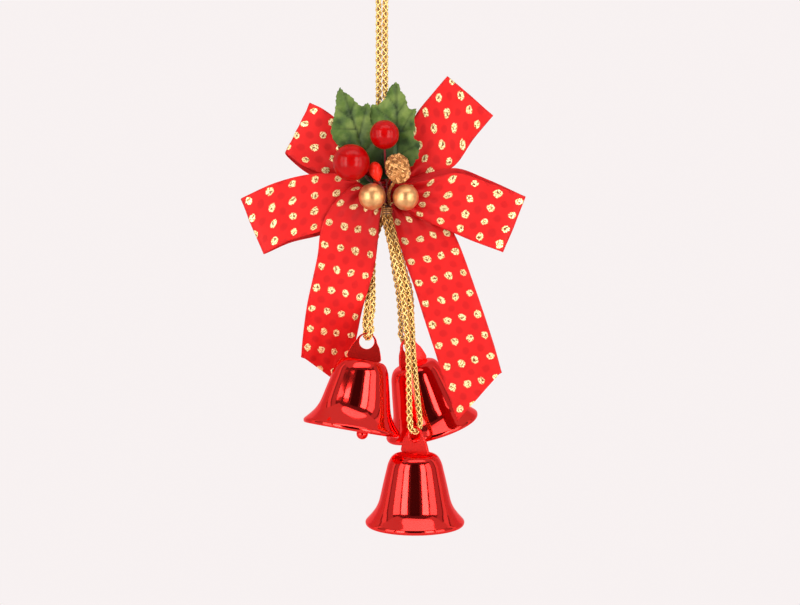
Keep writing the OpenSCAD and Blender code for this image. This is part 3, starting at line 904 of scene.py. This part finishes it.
def bell_tab(side):
    """The tab with its hole, and below it the shank, collar and staple that hold the clapper."""
    arm = TAB_TOP_R - TAB_BEVEL
    top = [
        (arm * math.sin(math.radians(a)), arm * math.cos(math.radians(a)))
        for a in range(78, -79, -6)
    ]
    outline = [(-x, y) for x, y in TAB_SIDE] + [(0, -6.78)] + TAB_SIDE[::-1] + top
    hole_r = TAB_HOLE_R + TAB_BEVEL
    turns = [2 * math.pi * k / 40 for k in range(40)]
    hole = [(hole_r * math.cos(w), TAB_HOLE_Y + hole_r * math.sin(w)) for w in turns]
    verts, faces = flat_outline(outline, hole, TAB_T, TAB_BEVEL)
    shank = [(1.38, -6.8), (1.38, -7.7), (1.9, -7.8), (1.9, -8.2), (0.02, -8.25)]
    add_mesh(verts, faces, *lathe(shank, 24))
    pin = -HOLE_TO_TOP - PIN_BELOW_TOP
    staple = [
        (0, -1.7, -7.9), (0, -1.7, pin + 0.6), (0, -1.5, pin + 0.1), (0, -0.9, pin),
        (0, 0.9, pin), (0, 1.5, pin + 0.1), (0, 1.7, pin + 0.6), (0, 1.7, -7.9),
    ]
    add_tube(verts, faces, spline(staple, 0.25), 0.45, 12, side=(1, 0, 0))
    piece(
        f"{side}_bell_hanger", verts, faces, TAB, f"{side}_bell",
        [f"{side}_bell_tab"], place=bell_place(BELLS[side]),
    )


def ball(radius, below):
    """A sphere centred below the origin, as vertices and faces."""
    rings = 32
    turns = [math.pi * i / rings for i in range(rings + 1)]
    profile = [(max(radius * math.sin(w), 0.001), radius * math.cos(w)) for w in turns]
    verts, faces = lathe(profile, 48)
    return [(x, y, z - below) for x, y, z in verts], faces


def clapper(side):
    place = clapper_place(BELLS[side])
    eye = [
        (1.0 * math.sin(math.radians(a)), 0.0, 1.0 * math.cos(math.radians(a)))
        for a in range(-140, 181, 12)
    ]
    eye += [(0.1, 0, -1.6), (0, 0, -2.6), (0, 0, -CLAPPER_LENGTH + 2.1)]
    verts, faces = [], []
    add_tube(verts, faces, spline(eye, 0.3), 0.4, 10)
    piece(
        f"{side}_clapper_rod", verts, faces, BELL, f"{side}_clapper",
        [f"{side}_clapper_wire"], place=place,
    )
    verts, faces = ball(2.4, CLAPPER_LENGTH)
    piece(
        f"{side}_clapper_bead", verts, faces, BELL, f"{side}_clapper",
        [f"{side}_clapper_ball"], place=place,
    )


for side in BELLS:
    bell_shell(side)
    bell_tab(side)
    clapper(side)

# ---- holly leaves


def segment_distance(p, a, b):
    """How far a point is from a segment, and how far along the segment that is."""
    d = b - a
    t = max(0.0, min(1.0, (p - a).dot(d) / d.length_squared))
    return (p - (a + d * t)).length, t


def upright(x, z):
    return Vector((x, 0, z))


def jagged(corners):
    """Three points for each side of an outline, the inner ones a little off it."""
    out = []
    for i, p in enumerate(corners):
        q = corners[(i + 1) % len(corners)]
        n = upright(q.z - p.z, p.x - q.x).normalized()
        for k in range(3):
            t = k / 3
            jag = 0.25 * math.sin(7.1 * (i + t)) if k else 0
            out.append(p.lerp(q, t) + n * jag)
    return out


def cut_to_cells(bm, outline):
    """Cuts a flat outline into cells of 0.7 mm, so that it can be shaped."""
    bm.faces.new([bm.verts.new(p) for p in outline])
    for axis, normal in ((0, upright(1, 0)), (2, upright(0, 1))):
        cut = min(p[axis] for p in outline) + 0.5
        while cut < max(p[axis] for p in outline):
            bmesh.ops.bisect_plane(
                bm,
                geom=bm.verts[:] + bm.edges[:] + bm.faces[:],
                plane_co=normal * cut,
                plane_no=normal,
            )
            cut += 0.7
    bmesh.ops.triangulate(bm, faces=[f for f in bm.faces if len(f.verts) > 4])
    bmesh.ops.recalc_face_normals(bm, faces=bm.faces[:])


def leaf(name, node, outline, ribs, depth, shape):
    """A moulded fabric leaf cut to an outline, grooved along its ribs and bent by shape(x, z).

    The first rib is the main one. Attribute rib tells the material where to paint shade, in the
    grooves along the ribs and over the leaf's middle near the bow; attribute edge tells it where
    to lighten the rim.
    """
    corners = [upright(x, z) for x, z in outline]
    border = list(zip(corners, corners[1:] + corners[:1]))
    ribs = [(upright(*a), upright(*b)) for a, b in ribs]
    bm = bmesh.new()
    cut_to_cells(bm, jagged(corners))
    painted_shade_layer = bm.verts.layers.float.new("rib")
    edge_layer = bm.verts.layers.float.new("edge")
    for v in bm.verts:
        p = v.co.copy()
        groove = 0.0
        to_rib = []
        for k, (a, b) in enumerate(ribs):
            d, t = segment_distance(p, a, b)
            to_rib.append(d)
            deep, wide = (0.45, 0.42) if k else (0.6, 0.55)
            groove += deep * math.exp(-((d / wide) ** 2)) * (1 - 0.5 * t)
        puff = 0.3 * noise.noise(p * 0.5) + 0.12 * noise.noise(p * 1.7)
        fall = 0.16 * min(to_rib[0], 6) + 0.12 * min(to_rib[1:] + [2.5])
        v.co.y = depth + groove - fall + puff + shape(p.x, p.z)
        # Painted shade: strongest in the grooves and over the middle, where the leaves lie under
        # the berries
        middle = 1 - math.hypot((p.x - 1.5) / 6.5, (p.z + 82) / 13)
        v[painted_shade_layer] = min(0.9, groove * 1.7 + max(0, middle) * 1.5)
        to_edge = min(segment_distance(p, a, b)[0] for a, b in border)
        v[edge_layer] = 0.55 * math.exp(-to_edge / 0.7) * (0.5 + noise.noise(p * 0.4))
    for f in bm.faces:
        f.smooth = True
    mesh = bpy.data.meshes.new(name)
    bm.to_mesh(mesh)
    bm.free()
    mesh.transform(Matrix.Scale(MM, 4))
    mesh.materials.append(LEAF)
    obj = add_object(name, mesh)
    thicken(obj, 0.4)
    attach(obj, ROOT)
    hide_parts(node)


LEAF_LEFT = [
    (-17.2, -48.7), (-16, -50.6), (-14.1, -51.6), (-12.5, -52.8), (-10.6, -54.9), (-9.1, -56.2),
    (-7.9, -56.5), (-6.6, -55.5), (-5.6, -55.3), (-4.8, -56.6), (-4.5, -58.4), (-5, -60.9),
    (-4.4, -63.4), (-2.5, -68), (0.2, -71), (0.6, -75), (-0.4, -80.5), (-3, -83.4), (-7, -82),
    (-11, -79), (-16, -75), (-18.9, -72.2), (-20.4, -70), (-21.2, -66.8), (-20.4, -63.8),
    (-19.7, -60.9), (-19.2, -58), (-19, -55.1), (-19, -52.6), (-18.5, -50.6),
]
LEAF_RIGHT = [
    (6, -46.3), (7.3, -47.9), (7.6, -50), (9.4, -51.7), (10.3, -54.2), (10.7, -56.4),
    (11.6, -57.6), (14.4, -57.5), (14.2, -59.4), (13.4, -61.2), (13.5, -63.3), (13.9, -65.4),
    (13.2, -67.9), (13.5, -70), (16, -71.3), (15.7, -73.7), (15.2, -76.2), (15.2, -78.3),
    (13.9, -78.7), (13.1, -81.2), (9, -81.6), (6, -82.4), (4.4, -86.4), (-0.6, -86.8),
    (-1.8, -82), (-3, -77), (-3.5, -73), (-3.6, -68), (-5.6, -62), (-6, -60), (-5.4, -57.6),
    (-3.7, -55.6), (-1.7, -56), (0, -54.8), (1.5, -53.3), (1.9, -51.3), (2.9, -49.2),
    (4.2, -47.5),
]
LEAF_SMALL = [
    (-9.6, -86), (-7.6, -85), (-5.6, -85.6), (-3.6, -87), (-4, -89.6), (-7.4, -89.4), (-9, -88.4),
]

leaf(
    "holly_leaf_left_cloth", "holly_leaf_left", LEAF_LEFT,
    [((-6, -80), (-15.6, -51.4)), ((-9.4, -69.6), (-6.4, -56.8)), ((-10.6, -66), (-20.2, -66)),
     ((-12, -62), (-18.8, -57.4)), ((-12.9, -59.4), (-11.4, -54.8)), ((-7.6, -75), (-15.6, -73)),
     ((-7.4, -75.6), (-2.6, -70))],
    -6.9, lambda x, z: 0.05 * (x + 8) - 0.02 * (z + 66),
)
leaf(
    "holly_leaf_right_cloth", "holly_leaf_right", LEAF_RIGHT,
    [((6.4, -81), (6, -48)), ((6.3, -70), (12.8, -58.6)), ((6.4, -77), (14.8, -72.4)),
     ((6.2, -64), (-2.6, -57)), ((6.3, -70), (-1, -66)), ((6.1, -60), (9.8, -54.6)),
     ((6.1, -57), (2.2, -52)), ((6.3, -67), (13, -66))],
    -6.1, lambda x, z: 0.03 * abs(x - 6) - 0.02 * (z + 66),
)
leaf(
    "holly_leaf_small_cloth", "holly_leaf_small", LEAF_SMALL,
    [((-4, -88), (-9, -86.8)), ((-6, -87.4), (-7.4, -85.8))],
    -6, lambda x, z: 0,
)

# ---- berries, buds and their wires

GOLDEN_ANGLE = 2.39996
BERRIES = {
    "large_berry": ((-12.4, -15, -80.6), 7.6, BERRY),
    "medium_berry": ((1.2, -13.8, -69), 6, BERRY),
    "gold_ball_left": ((-3.9, -12.7, -94.4), 5.55, GOLD_BALL),
    "gold_ball_right": ((9.9, -12.5, -94.7), 5.35, GOLD_BALL),
}


def berry(name, at, radius, material):
    """A slightly uneven ball with a small dimple at its top."""
    rings, segments = 48, 72
    verts = []
    for i in range(rings + 1):
        a = math.pi * i / rings
        r = radius * (1 - 0.035 * math.exp(-((a / 0.16) ** 2)))
        for k in range(segments):
            w = 2 * math.pi * k / segments
            way = Vector((math.sin(a) * math.cos(w), math.sin(a) * math.sin(w), math.cos(a)))
            lump = 1 + 0.006 * noise.noise(way * 1.6)
            out = r * lump * max(math.sin(a), 0.001)
            up = r * lump * math.cos(a)
            verts.append((at[0] + out * math.cos(w), at[1] + out * math.sin(w), at[2] + up))
    faces = grid_faces(rings + 1, segments, closed=True)
    piece(f"{name}_ball", verts, faces, material, ROOT, [name])


for name, (at, radius, material) in BERRIES.items():
    berry(name, at, radius, material)

BUD_LEAN = -14
bud_at = Vector((-2.4, -11.2, -83.9))
bud_profile = [
    (0.02, 4), (0.8, 3.9), (1.7, 3.2), (2.4, 2.2), (2.75, 0.8), (2.6, -0.8), (1.9, -2.4),
    (1.1, -3.5), (0.7, -4.2), (0.02, -4.2),
]
verts, faces = lathe(smooth_profile(bud_profile, 0.25), 48)
verts = [bud_at + turned(Vector(v), "Y", BUD_LEAN) for v in verts]
piece("red_bud", verts, faces, BUD, ROOT, ["berry_bud"])


def granules(verts, faces, centres, size):
    """Small angular grains, one at each centre."""
    for k, centre in enumerate(centres):
        r = size * (0.75 + abs(noise.noise(Vector((k * 1.37, 5.1, 2.3)))))
        shape = [(0, 0, 1), (0, 0, -1)]
        for i in range(5):
            w = k * GOLDEN_ANGLE + 2 * math.pi * i / 5
            shape.append((0.95 * math.cos(w), 0.95 * math.sin(w), 0.45))
            w += math.pi / 5
            shape.append((0.95 * math.cos(w), 0.95 * math.sin(w), -0.45))
        sides = []
        for i in range(5):
            a, b = 2 + 2 * i, 3 + 2 * i
            c, d = 2 + 2 * ((i + 1) % 5), 3 + 2 * ((i + 1) % 5)
            sides += [(0, a, c), (a, b, c), (b, d, c), (1, d, b)]
        add_mesh(verts, faces, [centre + r * Vector(v) for v in shape], sides)


def glitter_radius(h):
    """Radius of the glitter bud at a height over its middle."""
    t = h / 6.2
    return 5.0 * math.sqrt(max(0.0, 1 - t * t)) * (1 + 0.1 * t)


glitter_at = Vector((6.7, -12.8, -83))
grain_count = 430
centres = []
for k in range(grain_count):
    h = 5.7 * (1 - 2 * (k + 0.5) / grain_count)
    w = k * GOLDEN_ANGLE
    r = glitter_radius(h) - 0.4 + 0.3 * noise.noise(Vector((k * 0.71, 1.3, 8.8)))
    centres.append(Vector((r * math.cos(w), r * math.sin(w), h)))
heights = [5.6 - 0.4 * i for i in range(29)]
verts, faces = lathe([(max(glitter_radius(h) - 0.6, 0.02), h) for h in heights], 32)
verts = [glitter_at + turned(Vector(v), "Y", BUD_LEAN) for v in verts]
centres = [glitter_at + turned(c, "Y", BUD_LEAN) for c in centres]
granules(verts, faces, centres, 0.52)
piece("glitter_bud_grains", verts, faces, GLITTER, ROOT, ["glitter_bud"], smooth=False)

# The middle of the stems' bundle in front of the bow, and of the cord knot behind it
BUNDLE = (2.1, -6.2)
CORD_KNOT = (2.1, 6.1)


def wire(name, node, points, radius, material, grains=False):
    verts, faces = [], []
    add_tube(verts, faces, spline(points, 0.5), radius, 12, side=(1, 0.2, 0))
    if grains:
        beads = []
        for k, p in enumerate(spline(points, 0.16)):
            w = k * GOLDEN_ANGLE
            beads.append(p + 0.45 * Vector((math.cos(w), math.sin(w), 0.2 * math.sin(3 * w))))
        granules(verts, faces, beads, 0.36)
    piece(name, verts, faces, material, ROOT, [node], smooth=not grains)


def foot(degrees):
    """Where a stem enters the bundle, at an angle round its middle."""
    a = math.radians(degrees)
    return (BUNDLE[0] + 1.15 * math.cos(a), BUNDLE[1] + 1.15 * math.sin(a), -97.4)


# Each stem's wire, its node, its foot's angle, the points above the foot, radius and material
for name, node, angle, points, radius, material in (
    ("leaf_wire_left", "leaf_stem_left", 135,
     [(0, -5.4, -92), (-3.4, -5.4, -82.6), (-6, -5.9, -77)], 0.4, STEM),
    ("leaf_wire_right", "leaf_stem_right", 45, [(4.2, -5.2, -86), (5.4, -5.3, -78)], 0.4, STEM),
    ("large_berry_wire", "large_berry_stem", 180,
     [(-2.2, -6.3, -90.6), (-6, -7.8, -86.6), (-8.6, -10.6, -84)], 0.4, STEM),
    ("medium_berry_wire", "medium_berry_stem", 90,
     [(1.9, -5.4, -88), (1.5, -8.4, -81), (1.25, -12, -74.4)], 0.42, RED_STEM),
    ("red_bud_wire", "berry_bud_stem", 225,
     [(1.2, -8.4, -92.4), (-1.4, -10.8, -87.4)], 0.4, RED_STEM),
    ("glitter_bud_wire", "glitter_bud_stem", 0,
     [(3, -9.2, -92.2), (5, -12.6, -88.6)], 0.45, GLITTER),
    ("gold_ball_left_wire", "gold_ball_left_stem", 270,
     [(0.4, -9, -96.6), (-0.6, -10.2, -95.9)], 0.4, TIE_WIRE),
    ("gold_ball_right_wire", "gold_ball_right_stem", 315,
     [(5, -9, -96.4), (6.4, -10.2, -95.9)], 0.4, TIE_WIRE),
):
    wire(name, node, [foot(angle)] + points, radius, material, grains=material is GLITTER)

path = []
turns, low, high = 3.6, -101.2, -98.1
steps = int(turns * 28)
for i in range(steps + 1):
    t = i / steps
    w = 2 * math.pi * turns * t + 0.6
    r = 2.1 * (1 + 0.04 * math.sin(5 * w))
    x, y = BUNDLE[0] + r * math.cos(w), BUNDLE[1] + r * math.sin(w)
    path.append(Vector((x, y, low + (high - low) * t)))
verts, faces = [], []
add_tube(verts, faces, path, 0.33, 10, side=(0, 0, 1))
piece("binding_wire_coil", verts, faces, TIE_WIRE, ROOT, ["binding_wire"])

bundle = [
    (0.02, -97.5), (1.3, -97.5), (1.62, -97.8), (1.65, -101.2), (1.4, -101.4), (0.02, -101.4),
]
verts, faces = lathe(bundle, 32)
verts = [(x + BUNDLE[0], y + BUNDLE[1], z) for x, y, z in verts]
piece("stem_bundle_core", verts, faces, STEM, ROOT, ["stem_bundle"])

front, back, x = -4.0, 4.0, 1.9
ring = [
    (x, front, -96), (x, front, -84.4), (x, front + 1.2, -82.8), (x, back - 1.2, -82.6),
    (x, back, -84.4), (x, back, -96), (x, back - 1.2, -97.3), (x, front + 1.2, -97.3),
    (x, front, -95.9),
]
wire("bow_tie_wire_loop", "bow_tie_wire", ring, 0.35, STEM)

# The bound cord ends behind the bow, with cord wrapped round a core
turns, steps, wrap_r, rise = 3.4, 40, 2.45, 0.73
path = []
for i in range(int(turns * steps)):
    w = 2 * math.pi * i / steps
    x, y = CORD_KNOT[0] + wrap_r * math.cos(w), CORD_KNOT[1] + wrap_r * math.sin(w)
    path.append(Vector((x, y, -101.2 + rise * i / steps)))
verts, faces = [], []
add_tube(verts, faces, path, 0.75, 12, side=(0, 0, 1))
core_start = len(faces)
core = [(0.02, -98), (2.3, -98), (2.6, -98.5), (2.6, -101.3), (2.2, -101.8), (0.02, -101.8)]
core_verts, core_faces = lathe(core, 32)
core_verts = [(x + CORD_KNOT[0], y + CORD_KNOT[1], z) for x, y, z in core_verts]
add_mesh(verts, faces, core_verts, core_faces)
knot = piece("cord_knot_wraps", verts, faces, [GOLD, CORE], ROOT, ["cord_knot"])
for f in knot.data.polygons[core_start:]:
    f.material_index = 1

# ---- room and light


def plane(name, low, high, material):
    """A stage rectangle between two corners in metres that agree in one coordinate."""
    a, b = [axis for axis in range(3) if low[axis] != high[axis]]
    corners = [list(low) for _ in range(4)]
    for corner, at_a, at_b in zip(corners, (low, high, high, low), (low, low, high, high)):
        corner[a], corner[b] = at_a[a], at_b[b]
    mesh = bpy.data.meshes.new(name)
    mesh.from_pydata(corners, [], [(0, 1, 2, 3)])
    mesh.materials.append(material)
    obj = add_object(name, mesh)
    return obj


def glow(name, colour, strength):
    m = bpy.data.materials.new(name)
    m.use_nodes = True
    tree = m.node_tree
    tree.nodes.clear()
    out = tree.nodes.new("ShaderNodeOutputMaterial")
    e = tree.nodes.new("ShaderNodeEmission")
    e.inputs[0].default_value = (*colour, 1)
    e.inputs[1].default_value = strength
    tree.links.new(e.outputs[0], out.inputs[0])
    return m


def area(name, at, target, size, power, colour=(1, 1, 1), shape="RECTANGLE"):
    light = bpy.data.lights.new(name, "AREA")
    light.shape = shape
    light.size, light.size_y = size
    light.energy = power
    light.color = colour
    obj = add_object(name, light)
    obj.location = at
    obj.rotation_euler = (Vector(target) - Vector(at)).to_track_quat("-Z", "Y").to_euler()


FLOOR_Z = -0.6
plane("backdrop", (-4, 1.6, -2), (4, 1.6, 2), glow("backdrop", (0.965, 0.91, 0.91), 0.97))
plane("floor", (-4, -3, FLOOR_Z), (4, 1.6, FLOOR_Z), glow("floor", (0.96, 0.9, 0.89), 0.95))
# Side panels with narrow dark gaps between them, which draw the fine lines on the bells
for side, x in (("left", -1.4), ("right", 1.4)):
    for name, near, far, strength in (
        ("front_wall", -0.44, 0.02, 0.55),
        ("middle_wall", 0.12, 0.5, 1.0),
        ("back_wall", 0.6, 1.6, 0.75),
    ):
        name = f"{side}_{name}"
        lit = glow(name, (0.96, 0.9, 0.89), strength)
        plane(name, (x, near, FLOOR_Z), (x, far, 1.2), lit).visible_camera = False
lit = glow("ceiling", (0.98, 0.94, 0.92), 0.7)
plane("ceiling", (-1.35, -0.9, 1.1), (1.35, 1.6, 1.1), lit).visible_camera = False
aim = (0.005, 0, -0.14)
for side, way in (("left", -1), ("right", 1)):
    area(f"key_{side}", (way * 0.585, -0.88, -0.06), aim, (0.34, 1.1), 6.9, (1, 0.95, 0.92))
    area(f"fill_{side}", (way * 0.94, -0.56, -0.06), aim, (0.42, 1.1), 4, (1, 0.94, 0.92))
area("top", (0.1, -0.5, 0.8), aim, (1.3, 0.5), 3.6, shape="ELLIPSE")
# A dark panel behind the camera, which draws the dark stripe on each bell
dark = Nodes("dark_panel")
dark.put(
    Base_Color=dark.ramp(
        dark.noise(2), (0.2, (0.03, 0.02, 0.02)), (0.9, (0.02955, 0.0197, 0.0197))
    ),
    Roughness=0.9,
)
plane("dark_panel", (-0.3, -1.1, -0.9), (0.3, -1.1, 0.7), dark.material).visible_camera = False
# A pale room for the other views, which neither lights the ornament nor shows in its reflections
pale = glow("room", (0.96, 0.92, 0.91), 0.93)
for name, low, high in (
    ("room_front", (-4, -3, FLOOR_Z), (4, -3, 3)),
    ("room_left", (-3.9, -3, FLOOR_Z), (-3.9, 1.7, 3)),
    ("room_right", (3.9, -3, FLOOR_Z), (3.9, 1.7, 3)),
):
    wall = plane(name, low, high, pale)
    wall.visible_diffuse = False
    wall.visible_glossy = False

world = bpy.data.worlds.new("studio")
world.use_nodes = True
background = world.node_tree.nodes["Background"]
background.inputs[0].default_value = (1.0, 0.97, 0.96, 1)
background.inputs[1].default_value = 0.14
bpy.context.scene.world = world
bpy.context.scene.view_settings.view_transform = "Standard"
